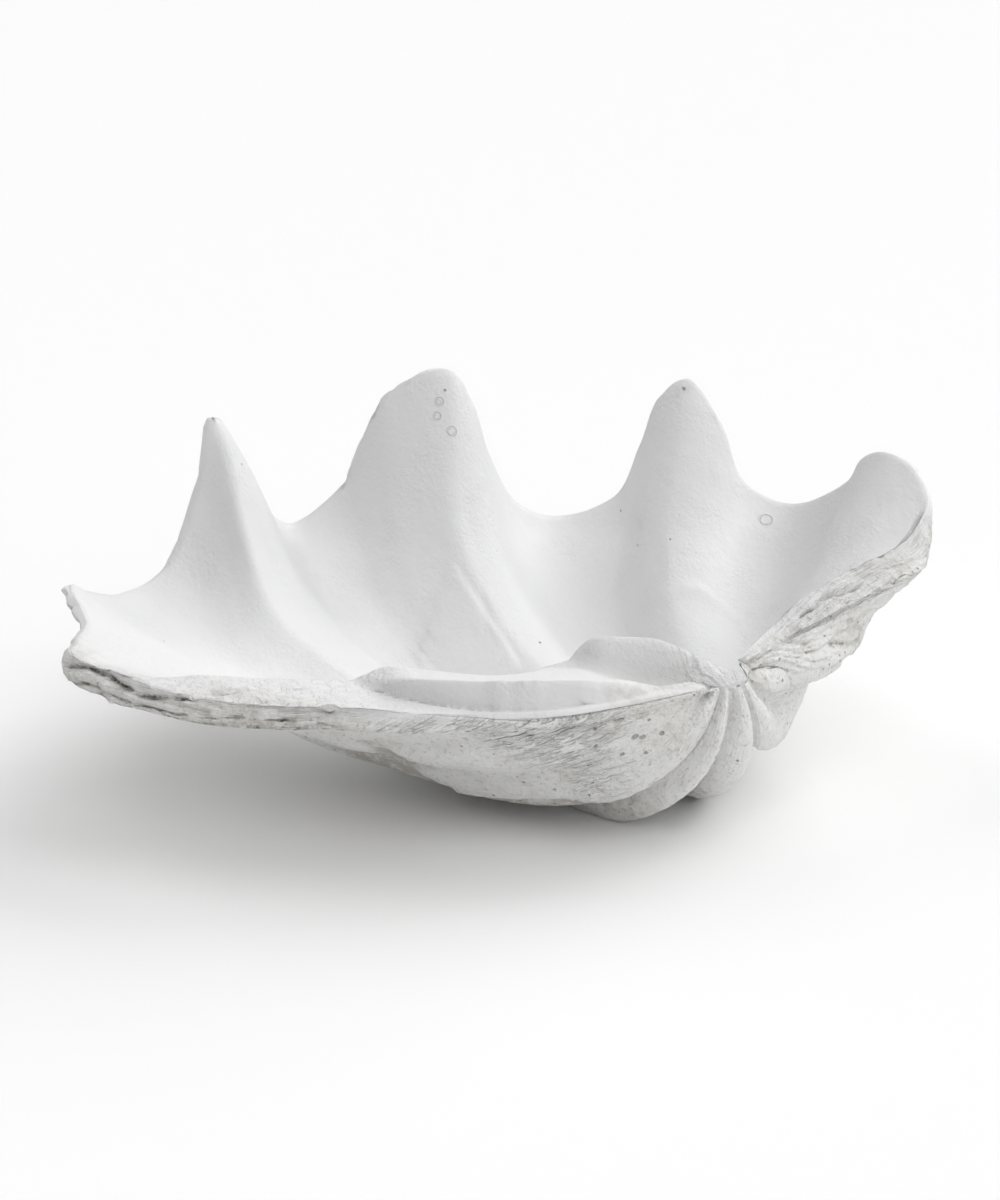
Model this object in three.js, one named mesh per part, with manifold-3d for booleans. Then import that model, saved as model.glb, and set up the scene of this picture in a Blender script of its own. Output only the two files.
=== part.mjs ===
// One valve of a large fluted clam, resting on the ribs of its underside with the hollow facing up.
// Millimetres, Z up. X runs along the hinge, Y from the hinge to the far rim.
// The wall is the track of the rim as the animal grew: every point of the rim has come from the
// umbo (the beak beside the hinge) along a logarithmic spiral that turns about the hinge axis.
import * as THREE from 'three';
import { mergeVertices } from 'three/addons/utils/BufferGeometryUtils.js';
import Module from 'manifold-3d';

const radians = THREE.MathUtils.degToRad;

// Growth: the size falls by a factor of e for each radian of turn.
const GROWTH = 1.0;
const BEAK_TURN = radians(172); // most that a ray turns from the rim back to the beak
const BEAK_RADIUS = 15; // distance from the umbo at which the rays end
const FLOOR_TURN = radians(58); // turn at which the inside of a full ray leaves the spiral

// Wall and folds
const FOLD_SPAN = 110; // rim length over which the folds average out
const WALL_SPAN = 26; // rim length over which the wall direction is steadied
const FLOOR_WALL = 24; // wall thickness at the bottom of the hollow
const FULL_WALL_RADIUS = 170; // rays shorter than this have a thinner floor
const CREST_ROUND = 0.35; // how far a thin rim is rounded, as a share of its thickness
const CREST_FLAT = 0.1; // the same for the thick broken edges
const THIN_RIM = 10; // rim thickness below which it is rounded
const END_SWELL = 10; // how far the right end stands out past its margin

// Hinge plate
const PLATE_HEIGHT = 1; // above the umbo, beside it
const WING_RISE = 8; // how much higher the plate is at the left wing
const PLATE_DROP = 13; // width of the slope from the plate into the hollow
const EDGE_BOW = 20; // how far the near edge bows forward of the hinge axis
const LEDGE_HEIGHT = 9.5; // the long lateral tooth
const LEDGE_STEP = 5; // width of its front step
const TOOTH_BACK = 20; // how far the back of the cardinal tooth reaches
const TOOTH_SCOOP = 2.2; // how hollow its front face is, 1 for a plain slope

const FOOT_LEVEL = -110; // the ribs underneath are worn flat at this height from the umbo
const RAYS_PER_STATION = 2;
const ROWS = { outside: 24, inside: 31, rim: 3 };

// Stations of the rim, from the hinge round the left wing and the teeth to the umbo.
// Place of the inner edge measured from the umbo, then the thickness of the rim there.
const RIM = [
  ['hinge end', -196, 8, 2, 12],
  ['wing', -227, 29, 4, 15],
  ['wing', -273, 54, 4, 17],
  ['wing', -310, 80, 6, 19],
  ['wing', -334, 122, 9, 20],
  ['wing corner', -354, 160, 12, 18],
  ['notch', -335, 196, 14, 12],
  ['small end tooth', -331, 249, 23, 9],
  ['sill', -315, 264, 11, 9],
  ['valley', -285, 291, -4, 9],
  ['first tooth, foot', -248, 314, 0, 8],
  ['first tooth, flank', -221, 328, 47, 8],
  ['first tooth, tip', -207, 327, 96, 8],
  ['first tooth, flank', -183, 344, 64, 8],
  ['first tooth, foot', -160, 358, 17, 8],
  ['valley', -138, 370, 0, 8],
  ['second tooth, foot', -108, 363, 21, 8],
  ['second tooth, flank', -95, 349, 59, 8],
  ['second tooth, shoulder', -82, 338, 92, 8],
  ['second tooth, tip', -44, 317, 112, 8],
  ['second tooth, flank', -24, 323, 87, 8],
  ['second tooth, flank', -7, 331, 43, 8],
  ['second tooth, foot', 17, 337, 4, 8],
  ['valley', 46, 335, -9, 8],
  ['third tooth, foot', 81, 314, 7, 8],
  ['third tooth, flank', 89, 294, 48, 8],
  ['third tooth, shoulder', 96, 277, 87, 8],
  ['third tooth, tip', 111, 264, 101, 8],
  ['third tooth, flank', 132, 253, 69, 8],
  ['third tooth, foot', 149, 249, 27, 8],
  ['valley', 170, 225, 16, 8],
  ['fourth tooth, foot', 187, 179, 43, 8],
  ['fourth tooth, flank', 187, 160, 65, 8],
  ['fourth tooth, tip', 189, 135, 76, 9],
  ['fourth tooth, shoulder', 194, 106, 72, 10],
  ['right corner', 192, 85, 58, 12],
  ['right edge', 166, 68, 39, 20],
  ['right edge', 124, 54, 33, 28],
  ['right edge', 78, 40, 23, 22],
  ['right edge', 41, 24, 10, 10],
  ['umbo', 16, 9, 3, 3],
];

// Lines on the hinge plate seen from above, as x and y, and for the crest its height too.
const PLATE_BACK = [
  [-380, 190], [-345, 166], [-320, 124], [-295, 112], [-267, 102], [-237, 92], [-212, 83],
  [-190, 74], [-168, 52], [-146, 32], [-120, 26], [-104, 32], [-86, 37], [-75, 36], [-58, 31],
  [-40, 27], [-24, 18], [-12, 14], [2, 10], [12, 2],
];
const LEDGE_FRONT = [
  [-212, 90], [-208, 74], [-200, 52], [-192, 38], [-166, 12], [-136, -5], [-102, -14],
  [-62, -13], [-40, -6],
];
const TOOTH_CREST = [
  [-114, 35, 0], [-99, 33, 7], [-86, 28, 16], [-72, 20, 24], [-57, 16, 24], [-40, 12, 22],
  [-24, 8, 15], [-12, 6, 8], [-2, 5, 3], [8, 4, 0],
];
const TOOTH_FRONT = [[-122, 20], [-99, 2], [-84, -6], [-50, -8], [-17, -5], [8, 1]];

// How far along the rim the folds lag behind straight rays, for x of the ray.
const FOLD_LAG = [
  [-345, 0], [-255, 88], [-207, 88], [-138, 62], [-44, 48], [111, 22], [175, 0],
];

// Small helpers

function smooth(t) {
  const c = THREE.MathUtils.clamp(t, 0, 1);
  return c * c * (3 - 2 * c);
}

function mix(a, b, share) {
  return a + (b - a) * share;
}

// A smooth line through the rows of a table: column k as a function of x.
function along(table, k, x) {
  const last = table.length - 1;
  const at = THREE.MathUtils.clamp(x, table[0][0], table[last][0]);
  let i = 0;
  while (i < last - 1 && at >= table[i + 1][0]) i += 1;
  const slope = (j) => {
    const a = table[Math.max(j - 1, 0)];
    const b = table[Math.min(j + 1, last)];
    return (b[k] - a[k]) / (b[0] - a[0]);
  };
  const width = table[i + 1][0] - table[i][0];
  const w = (at - table[i][0]) / width;
  const v = 1 - w;
  return table[i][k] * (1 + 2 * w) * v * v + table[i + 1][k] * w * w * (3 - 2 * w)
    + width * (slope(i) * w * v * v - slope(i + 1) * w * w * v);
}

// A list of vectors sampled at a fractional index.
function sample(list, index) {
  const i = Math.min(Math.floor(index), list.length - 2);
  return list[i].clone().lerp(list[i + 1], index - i);
}

// The rim

const SAMPLES = 12; // points of the rim between two stations

function rimCurve() {
  const curve = new THREE.CatmullRomCurve3(
    RIM.map(([, x, y, z]) => new THREE.Vector3(x, y, z)), false, 'centripetal');
  return curve.getPoints((RIM.length - 1) * SAMPLES);
}

function lengthsOf(points) {
  const lengths = [0];
  for (let i = 1; i < points.length; i += 1) {
    lengths.push(lengths[i - 1] + points[i].distanceTo(points[i - 1]));
  }
  return lengths;
}

// Gaussian average of vectors along the rim. The two ends keep their own values.
function averaged(vectors, lengths, span) {
  const last = lengths.length - 1;
  const share = lengths.map((l, i) =>
    (lengths[Math.min(i + 1, last)] - lengths[Math.max(i - 1, 0)]) / (i > 0 && i < last ? 2 : 1));
  return vectors.map((own, i) => {
    const sum = new THREE.Vector3();
    let weights = 0;
    for (let j = 0; j <= last; j += 1) {
      const weight = share[j] * Math.exp(-(((lengths[i] - lengths[j]) / span) ** 2));
      sum.addScaledVector(vectors[j], weight);
      weights += weight;
    }
    const toEnd = Math.min(lengths[i], lengths[last] - lengths[i]);
    return own.clone().lerp(sum.divideScalar(weights), smooth(toEnd / (2 * span)));
  });
}

// Unit normals of the grown wall at the rim, facing the hollow.
function inwardNormals(points) {
  const last = points.length - 1;
  return points.map((p, i) => {
    const tangent = points[Math.min(i + 1, last)].clone().sub(points[Math.max(i - 1, 0)]);
    const growth = new THREE.Vector3(-GROWTH * p.x, p.z - GROWTH * p.y, -p.y - GROWTH * p.z);
    return growth.cross(tangent).normalize();
  });
}

function makeRim() {
  const inner = rimCurve();
  const lengths = lengthsOf(inner);
  const wall = inner.map((_, i) => {
    const station = Math.min(Math.floor(i / SAMPLES), RIM.length - 2);
    return mix(RIM[station][4], RIM[station + 1][4], i / SAMPLES - station);
  });
  const steadied = inwardNormals(averaged(inner, lengths, WALL_SPAN));
  const normal = averaged(steadied, lengths, WALL_SPAN / 2).map((n) => n.normalize());
  const outer = inner.map((p, i) => p.clone().addScaledVector(normal[i], -wall[i]));
  const base = averaged(outer, lengthsOf(outer), FOLD_SPAN);
  const baseNormal = averaged(inwardNormals(base), lengths, FOLD_SPAN * 0.7).map((n) => n.normalize());
  const fold = outer.map((p, i) => p.clone().sub(base[i]));
  return { inner, lengths, wall, normal, base, baseNormal, fold };
}

const rim = makeRim();

// Growth

// Turns a vector about the hinge axis, rim side going down.
function turned(vector, turn) {
  const c = Math.cos(turn);
  const s = Math.sin(turn);
  return new THREE.Vector3(vector.x, c * vector.y + s * vector.z, c * vector.z - s * vector.y);
}

// The folds lag behind the straight rays, most at a turn of 15 to 20 degrees.
function foldLag(turn, x) {
  const rise = smooth(turn / radians(15));
  return along(FOLD_LAG, 1, x) * rise * (1 - smooth((turn - radians(20)) / radians(38)));
}

function foldAt(ray, turn) {
  const last = rim.lengths.length - 1;
  const length = Math.min(ray.length + foldLag(turn, ray.inner.x), rim.lengths[last]);
  let i = Math.min(Math.floor(ray.index), last - 1);
  while (i < last - 1 && rim.lengths[i + 1] < length) i += 1;
  const share = (length - rim.lengths[i]) / (rim.lengths[i + 1] - rim.lengths[i]);
  return rim.fold[i].clone().lerp(rim.fold[i + 1], THREE.MathUtils.clamp(share, 0, 1));
}

// How tall the folds are against pure growth. They are lower in the middle of the wall, above all
// at the left, and inside they fade towards the floor of the hollow.
function outsideFold(turn, x) {
  const drop = 0.3 + 0.25 * leftShare(x);
  return 1 - drop * smooth(turn / radians(20)) * (1 - smooth((turn - radians(34)) / radians(30)));
}

function insideFold(turn, x) {
  const left = leftShare(x);
  const upper = (0.4 + 0.2 * left) * smooth(turn / radians(20 - 4 * left));
  const lower = (0.32 - 0.15 * left) * smooth((turn - radians(15)) / radians(48));
  return 1 - upper - lower;
}

function leftShare(x) {
  return smooth((-80 - x) / 120);
}

function endSwell(turn, x) {
  const arch = Math.sin(Math.PI * THREE.MathUtils.clamp(turn / radians(75), 0, 1)) ** 0.8;
  return END_SWELL * smooth((x - 20) / 90) * arch;
}

// The near edge bows forward of the hinge axis.
function edgeBow(x, station) {
  const bow = smooth((x + 200) / 100) * smooth(0.35 - x / 40);
  return EDGE_BOW * bow * (1 - smooth(station / 8));
}

// Hinge plate with its two teeth, as a height over the plan

function ledgeHeight(x, y) {
  const ends = smooth((x + 212) / 26) * smooth((-38 - x) / 34);
  return LEDGE_HEIGHT * ends * smooth((y - along(LEDGE_FRONT, 1, x)) / LEDGE_STEP + 0.5);
}

// How far the cardinal tooth has risen at a place: 0 in front of it, 1 on its crest.
function toothShare(x, y) {
  const crest = along(TOOTH_CREST, 1, x);
  const front = along(TOOTH_FRONT, 1, x);
  const rise = (y - front) / Math.max(crest - front, 3);
  if (rise < 1) return Math.max(rise, 0) ** TOOTH_SCOOP;
  return Math.max(1 - ((y - crest) / TOOTH_BACK) ** 2, 0);
}

function plateHeight(x, y) {
  const plate = PLATE_HEIGHT + WING_RISE * smooth((-x - 200) / 140);
  const ledge = ledgeHeight(x, y);
  const tooth = Math.max(along(TOOTH_CREST, 2, x), ledge);
  return plate + mix(ledge, tooth, toothShare(x, y));
}

// 1 on the plate, 0 in the hollow
function plateShare(x, y) {
  return smooth((along(PLATE_BACK, 1, x) - y) / PLATE_DROP + 0.5) * smooth((22 - x) / 16);
}

// Rays: one closed loop of points for each place on the rim

function rayAt(station) {
  const index = station * SAMPLES;
  const i = Math.min(Math.floor(index), rim.lengths.length - 2);
  const between = (list) => mix(list[i], list[i + 1], index - i);
  const inner = sample(rim.inner, index);
  return {
    station,
    index,
    inner,
    end: Math.min(BEAK_TURN, Math.log(inner.length() / BEAK_RADIUS) / GROWTH),
    length: between(rim.lengths),
    wall: between(rim.wall),
    normal: sample(rim.normal, index),
    base: sample(rim.base, index),
    baseNormal: sample(rim.baseNormal, index),
  };
}

function outsidePoint(ray, turn) {
  const point = ray.base.clone().addScaledVector(foldAt(ray, turn), outsideFold(turn, ray.inner.x));
  point.multiplyScalar(Math.exp(-GROWTH * turn));
  point.addScaledVector(ray.baseNormal, -endSwell(turn, ray.inner.x));
  return turned(point, turn).lerp(beakPoint(ray), smooth((turn / ray.end - 0.72) / 0.28));
}

// Where the ray ends, on a small arc round the umbo.
function beakPoint(ray) {
  const way = Math.atan2(ray.base.y, ray.base.x);
  return new THREE.Vector3(Math.cos(way), -Math.sin(way), -0.3).multiplyScalar(BEAK_RADIUS);
}

function insidePoint(ray, turn) {
  const height = insideFold(turn, ray.inner.x);
  const point = ray.base.clone().addScaledVector(foldAt(ray, turn), height);
  point.multiplyScalar(Math.exp(-GROWTH * turn));
  const facing = ray.baseNormal.clone().lerp(ray.normal, height).normalize();
  const deepWall = (FLOOR_WALL - 8 + ray.wall / 2) * smooth(ray.inner.length() / FULL_WALL_RADIUS);
  const wall = mix(ray.wall, deepWall, smooth(turn / radians(50)));
  const offset = turned(facing, turn).multiplyScalar(wall);
  offset.y *= smooth(ray.station / 3); // at the hinge the near edge stays over itself
  return turned(point, turn).add(offset);
}

const FINE = 240; // steps of an inside ray before its rows are spaced out

function insideRay(ray) {
  const beak = beakPoint(ray);
  const floorTurn = (ray.end * FLOOR_TURN) / BEAK_TURN;
  const floor = insidePoint(ray, floorTurn);
  const points = [];
  for (let i = 0; i < FINE; i += 1) {
    points.push(insidePoint(ray, (floorTurn * i) / (FINE - 1)));
  }
  for (let i = 1; i < FINE; i += 1) {
    points.push(floor.clone().lerp(beak, i / (FINE - 1)));
  }
  points.forEach((point, i) => {
    point.y -= edgeBow(point.x, ray.station);
    const fromRim = smooth(i / (0.06 * points.length));
    point.z = mix(point.z, plateHeight(point.x, point.y), plateShare(point.x, point.y) * fromRim);
    const onBridge = Math.max(i - FINE + 1, 0) / (FINE - 1);
    point.z = mix(point.z, beak.z, smooth((onBridge - 0.86) / 0.14));
  });
  return spaced(points, ROWS.inside);
}

// Rows spaced mostly by the distance along the ray.
function spaced(points, count) {
  const lengths = lengthsOf(points);
  const last = points.length - 1;
  const place = lengths.map((l, i) => (0.8 * l) / lengths[last] + (0.2 * i) / last);
  const rows = [];
  let i = 0;
  for (let row = 0; row < count; row += 1) {
    const wanted = row / (count - 1);
    while (i < last - 1 && place[i + 1] < wanted) i += 1;
    const share = THREE.MathUtils.clamp((wanted - place[i]) / (place[i + 1] - place[i]), 0, 1);
    rows.push(points[i].clone().lerp(points[i + 1], share));
  }
  return rows;
}

function outsideRay(ray) {
  const rows = [];
  for (let row = 0; row < ROWS.outside; row += 1) {
    const point = outsidePoint(ray, ray.end * (row / (ROWS.outside - 1)) ** 1.4);
    point.y -= edgeBow(point.x, ray.station);
    rows.push(point);
  }
  return rows;
}

// The rim itself, rounded where it is thin.
function rimRows(ray, outerEdge) {
  const crest = ray.wall * (ray.wall < THIN_RIM ? CREST_ROUND : CREST_FLAT);
  const away = ray.inner.clone().normalize();
  const rows = [];
  for (let row = 1; row <= ROWS.rim; row += 1) {
    const share = row / (ROWS.rim + 1);
    const point = ray.inner.clone().lerp(outerEdge, share);
    rows.push(point.addScaledVector(away, crest * Math.sin(Math.PI * share)));
  }
  return rows;
}

// Outside from the rim to the beak, inside from the beak back to the rim, then the rim.
function loopAt(station) {
  const ray = rayAt(station);
  const outside = outsideRay(ray);
  const inside = insideRay(ray).reverse().slice(1);
  return [...outside, ...inside, ...rimRows(ray, outside[0])];
}

// Solid

function shellGeometry() {
  const strips = (RIM.length - 1) * RAYS_PER_STATION;
  const loops = [];
  for (let i = 0; i <= strips; i += 1) loops.push(loopAt(i / RAYS_PER_STATION));
  const size = loops[0].length;
  const positions = [];
  loops.flat().forEach((point) => positions.push(point.x, point.y, point.z));
  const index = [];
  for (let i = 0; i < strips; i += 1) {
    for (let j = 0; j < size; j += 1) {
      const a = i * size + j;
      const b = i * size + ((j + 1) % size);
      index.push(a, b + size, b, a, a + size, b + size);
    }
  }
  index.push(...endCap(0, size, true), ...endCap(strips * size, size, false));
  const geometry = new THREE.BufferGeometry();
  geometry.setAttribute('position', new THREE.Float32BufferAttribute(positions, 3));
  geometry.setIndex(index);
  return mergeVertices(geometry, 1e-3);
}

// Closes an end loop with a strip that runs between its outside and its inside rows.
function endCap(first, size, flipped) {
  const faces = [];
  const add = (a, b, c) => faces.push(...(flipped ? [first + a, first + b, first + c]
    : [first + c, first + b, first + a]));
  let low = 0;
  let high = size - 1;
  while (high - low > 1) {
    add(low, low + 1, high);
    low += 1;
    if (high - low > 1) {
      add(low, high - 1, high);
      high -= 1;
    }
  }
  return faces;
}

const wasm = await Module();
wasm.setup();

function toSolid(geometry) {
  return new wasm.Manifold(new wasm.Mesh({
    numProp: 3,
    vertProperties: new Float32Array(geometry.attributes.position.array),
    triVerts: new Uint32Array(geometry.index.array),
  }));
}

function fromSolid(solid) {
  const { vertProperties, triVerts } = solid.getMesh();
  const geometry = new THREE.BufferGeometry();
  geometry.setAttribute('position', new THREE.BufferAttribute(new Float32Array(vertProperties), 3));
  geometry.setIndex(new THREE.BufferAttribute(new Uint32Array(triVerts), 1));
  return geometry;
}

// A plain block, to cut the ribs flat below the foot level.
function floorBlock() {
  const block = new THREE.BoxGeometry(800, 800, 100);
  block.translate(0, 150, FOOT_LEVEL - 50);
  block.deleteAttribute('normal');
  block.deleteAttribute('uv');
  return mergeVertices(block);
}

function shellBody() {
  const geometry = fromSolid(toSolid(shellGeometry()).subtract(toSolid(floorBlock())));
  geometry.computeBoundingBox();
  const middle = geometry.boundingBox.getCenter(new THREE.Vector3());
  geometry.translate(-middle.x, -middle.y, -FOOT_LEVEL);
  geometry.computeVertexNormals();
  return geometry;
}

const plaster = new THREE.MeshStandardMaterial({ color: '#f1f0ed', roughness: 0.75, metalness: 0 });
const shell = new THREE.Mesh(shellBody(), plaster);
shell.name = 'shell_valve';

const clam = new THREE.Group();
clam.name = 'clam_shell';
clam.add(shell);

export default clam;
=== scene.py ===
import bpy
import numpy as np
from mathutils import Matrix, Vector


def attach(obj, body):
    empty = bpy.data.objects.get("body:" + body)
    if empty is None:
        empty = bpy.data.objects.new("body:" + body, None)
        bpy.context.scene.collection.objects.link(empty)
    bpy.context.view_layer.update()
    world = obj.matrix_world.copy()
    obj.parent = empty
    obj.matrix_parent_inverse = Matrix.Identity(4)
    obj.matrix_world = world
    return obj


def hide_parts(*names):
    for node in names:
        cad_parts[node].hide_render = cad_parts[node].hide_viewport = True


MM = 0.001

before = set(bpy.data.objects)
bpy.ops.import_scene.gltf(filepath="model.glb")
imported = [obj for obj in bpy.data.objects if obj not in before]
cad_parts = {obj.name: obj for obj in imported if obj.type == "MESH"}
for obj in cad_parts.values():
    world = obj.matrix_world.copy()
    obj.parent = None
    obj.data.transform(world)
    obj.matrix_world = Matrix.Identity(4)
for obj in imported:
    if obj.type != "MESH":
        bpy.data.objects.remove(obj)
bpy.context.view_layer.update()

# Growth, as in the solid: the size falls by a factor of e for each radian of turn
GROWTH = 1.0
BEAK_TURN = np.radians(172)
BEAK_RADIUS = 15
BEAK_DROP = 0.3
FLOOR_TURN = np.radians(58)
SWELL_TURN = np.radians(75)

# Wall and folds
FOLD_SPAN = 110
WALL_SPAN = 26
FLOOR_WALL = 16
FULL_WALL_RADIUS = 170
CREST_ROUND = 0.35
CREST_FLAT = 0.1
THIN_RIM = 10
END_SWELL = 10

# Hinge plate
PLATE_HEIGHT = 1
WING_RISE = 8
PLATE_DROP = 13
EDGE_BOW = 20
LEDGE_HEIGHT = 9.5
LEDGE_STEP = 3
BROW_REACH = 16
TOOTH_BACK = 20
TOOTH_LEAST_WIDTH = 3
TOOTH_SCOOP = 5
SOCKET_DEPTH = 10
EDGE_BULGE = 0.35

FOOT_LEVEL = -110

# Stations of the rim, counted from 0 at the near end of the wing to the umbo: the place of its
# inner edge from the umbo, then its thickness
RIM = np.array([
    (-196, 8, 2, 12), (-227, 29, 4, 14), (-273, 54, 4, 15), (-310, 80, 6, 17), (-334, 122, 9, 18),
    (-354, 160, 12, 14), (-335, 196, 14, 8), (-331, 249, 23, 9), (-315, 264, 11, 9),
    (-285, 291, -4, 9), (-248, 314, 0, 8), (-221, 328, 47, 8), (-207, 327, 96, 8),
    (-183, 344, 64, 8), (-160, 358, 17, 8), (-138, 370, 0, 8), (-108, 363, 21, 8),
    (-95, 349, 59, 8), (-82, 338, 92, 8), (-44, 317, 112, 8), (-24, 323, 87, 8),
    (-7, 331, 43, 8), (17, 337, 4, 8), (46, 335, -9, 8), (81, 314, 7, 8), (89, 294, 48, 8),
    (96, 277, 87, 8), (111, 264, 101, 8), (132, 253, 69, 8), (149, 249, 27, 8),
    (170, 225, 16, 8), (187, 179, 43, 8), (187, 160, 65, 8), (189, 135, 76, 9),
    (194, 106, 72, 10), (192, 85, 58, 12), (166, 68, 39, 20), (124, 54, 33, 28),
    (78, 40, 23, 22), (41, 24, 10, 10), (16, 9, 3, 3),
], float)
LAST = len(RIM) - 1

# Lines on the hinge plate seen from above, as x and y, and for the crest its height too
PLATE_BACK = [
    (-380, 190), (-345, 166), (-320, 124), (-295, 112), (-267, 102), (-237, 92), (-212, 83),
    (-190, 74), (-168, 52), (-146, 32), (-120, 26), (-104, 32), (-86, 37), (-75, 36), (-58, 31),
    (-40, 27), (-24, 18), (-12, 14), (2, 10), (12, 2),
]
LEDGE_FRONT = [
    (-212, 90), (-208, 74), (-200, 52), (-192, 38), (-168, 12), (-140, -6), (-102, -15),
    (-62, -14), (-40, -7),
]
TOOTH_CREST = [
    (-114, 35, 0), (-99, 33, 2.5), (-86, 28, 11.5), (-74, 21, 24), (-57, 16, 24), (-40, 12, 22),
    (-24, 8, 15), (-12, 6, 8), (-2, 5, 3), (8, 4, 0),
]
LEDGE_BROW = [
    (-212, 0), (-190, 3), (-165, 7), (-130, 8.5), (-108, 6.5), (-85, 2), (-65, -3), (-40, 0),
]
TOOTH_FRONT = [(-122, 20), (-99, 2), (-84, -6), (-50, -8), (-17, -5), (8, 1)]

# How far along the rim the folds lag behind straight rays, for x of the ray
FOLD_LAG = [(-345, 0), (-255, 88), (-207, 88), (-138, 62), (-44, 48), (111, 22), (175, 0)]

# Mesh: points of the rim curve for each station, fine points along a ray before they are
# spaced, rays for each station, rows of points, and loops that round off the near edge
SAMPLES = 12
FINE = 300
RAYS_PER_STATION = 12
OUTSIDE_ROWS = 86
OUTSIDE_SHARES = np.linspace(0, 1, OUTSIDE_ROWS) ** 1.4
INSIDE_ROWS = 92
EVEN_SHARE = 0.2
RIM_ROWS = 22
EDGE_LOOPS = 6
EDGE_TURN = np.radians(78)

# How much further the inner edge reaches along its ray, in mm, for stations of the rim
MARGIN_REACH = [
    (0, 0), (3, 0), (3.7, 4), (4.6, 4), (5.3, 3), (5.8, 2), (6.4, 0), (7.2, -1), (8, 0), (41, 0),
]

# Relief, in mm along the normal. Steps and lines of growth are counted for each radian of turn.
GROWTH_STEPS = 7.5
GROWTH_LINES = 40
RIBLET_WIDTH = 15
LAYER_THICKNESS = 4.2
LAYER_RELIEF = 1.5
CORNER_WEAR = 6
CRAG_SPACING = 30
SHOULDER_SHIFT = 6
SCAR_HEIGHT = 2.4
LIP_STEP = 4
LIP_SHADE = 0.6
GROOVE_DEPTH = 2
GROOVE_DARK = 0.6
STRIA_HEIGHT = 1.5
CHIP_DEPTH = 1.6
BEAK_REACH = 38

# The lower edge of the front face and the two sides of the muscle scar: depths from the rim, and
# the station where each line runs at that depth
LIP_DEPTHS = [203, 261, 275, 328, 349, 371, 400]
LIP_STATIONS = [4.8, 7.1, 8.3, 8.2, 8.4, 9.3, 10.3]
SCAR_LEFT = [119, 132, 155, 185], [17.6, 16.4, 14.2, 13.4]
SCAR_RIGHT = [119, 154, 196], [17.65, 17.75, 17.9]
SCAR_END = 215

# Crevices: width, depth, then places on the surface measured from the umbo
CREVICES = [
    (2.0, 6, (-356, 154, 6), (-346, 138, 7), (-337, 121, 5), (-331, 108, 2), (-322, 94, 3),
     (-313, 83, 4), (-304, 79, 6)),
    (1.3, 3, (-356, 142, -1), (-343, 124, -3), (-333, 107, -5)),
    (1.6, 4, (-297, 81, 5), (-279, 76, 6)),
    (1.6, 4, (-266, 75, 5), (-252, 74, 4), (-240, 71, 3)),
    (1.8, 4, (-284, 53, -7), (-272, 47, -6), (-266, 45, -3), (-255, 41, -2)),
    (1.1, 2.5, (-262, 61, 4), (-256, 44, 3)),
    (4.0, 2.5, (-254, 36, -9), (-239, 35, -12), (-222, 32, -15)),
    (2.6, 1, (14, 8, 4), (18, 5, -3), (22, 3, -8)),
    (1.8, 7, (86, 36, 22), (99, 35, 24), (111, 37, 27)),
    (1.5, 5, (69, 29, 17), (79, 32, 20)),
    (1.6, 3, (115, 27, 24), (133, 32, 28), (150, 37, 28)),
    (1.6, 3, (84, 18, -2), (100, 26, -5), (114, 37, -9)),
]

# Shallow lines and raised edges, in the same way. A raised one has a negative depth.
CREASES = [
    (1.2, 0.5, (-44, 252, -4), (-33, 253, -8), (-19, 262, -17), (1, 278, -32)),
    (1.0, 0.5, (-106, 337, -5), (-103, 326, -6), (-100, 317, 0)),
    (1.0, 0.5, (-103, 326, -6), (-107, 328, -13)),
    (1.9, 1.6, (77, 279, 4), (72, 261, 7), (68, 240, 8)),
    (1.5, 1.1, (73, 261, 9), (70, 252, 9), (69, 235, 7), (70, 229, 5)),
    (4.0, -1.5, (51, 212, -36), (55, 199, -25), (61, 191, -19), (73, 182, -17), (79, 176, -19),
     (96, 159, -35)),
    (1.6, -0.9, (190, 106, 70), (191, 98, 65), (188, 88, 58)),
    (3.0, 1.2, (-56, 231, -22), (-61, 206, -41), (-54, 186, -48)),
    (2.0, 0.7, (170, 146, 49), (158, 148, 30)),
]

# Broken spots: place, reach, depth
DENTS = [
    (-100, 357, 34, 5, 2), (-75, 339, 97, 5, 1.2), (102, 265, 90, 4, 1.5), (-197, 317, 74, 2.5, 1),
    (-91, 320, 32, 3, 0.8), (-62, 196, -47, 5, 1.5), (-307, 78, 3, 6, 1.5), (-289, 65, 4, 5, 2),
    (-273, 57, 3, 6, 2), (-253, 49, 3, 5, 2), (-238, 35, 4, 7, 2), (-262, 52, 4, 5, 1.5),
    (-207, 329, 98, 9, 2.5), (-213, 331, 92, 6, 2), (-104, 363, 29, 6, 2.2), (-99, 352, 44, 6, 1.2),
    (-86, 345, 84, 8, 1.6), (-66, 330, 106, 8, 1.2), (-91, 304, 14, 4, 0.8), (107, 262, 95, 3.5, 1.2),
    (-290, 60, -4, 7, 2.5), (-337, 226, 16, 6, 2.5), (-338, 208, 8, 7, 2.5), (-333, 245, 24, 5, 1.5),
]
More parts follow.
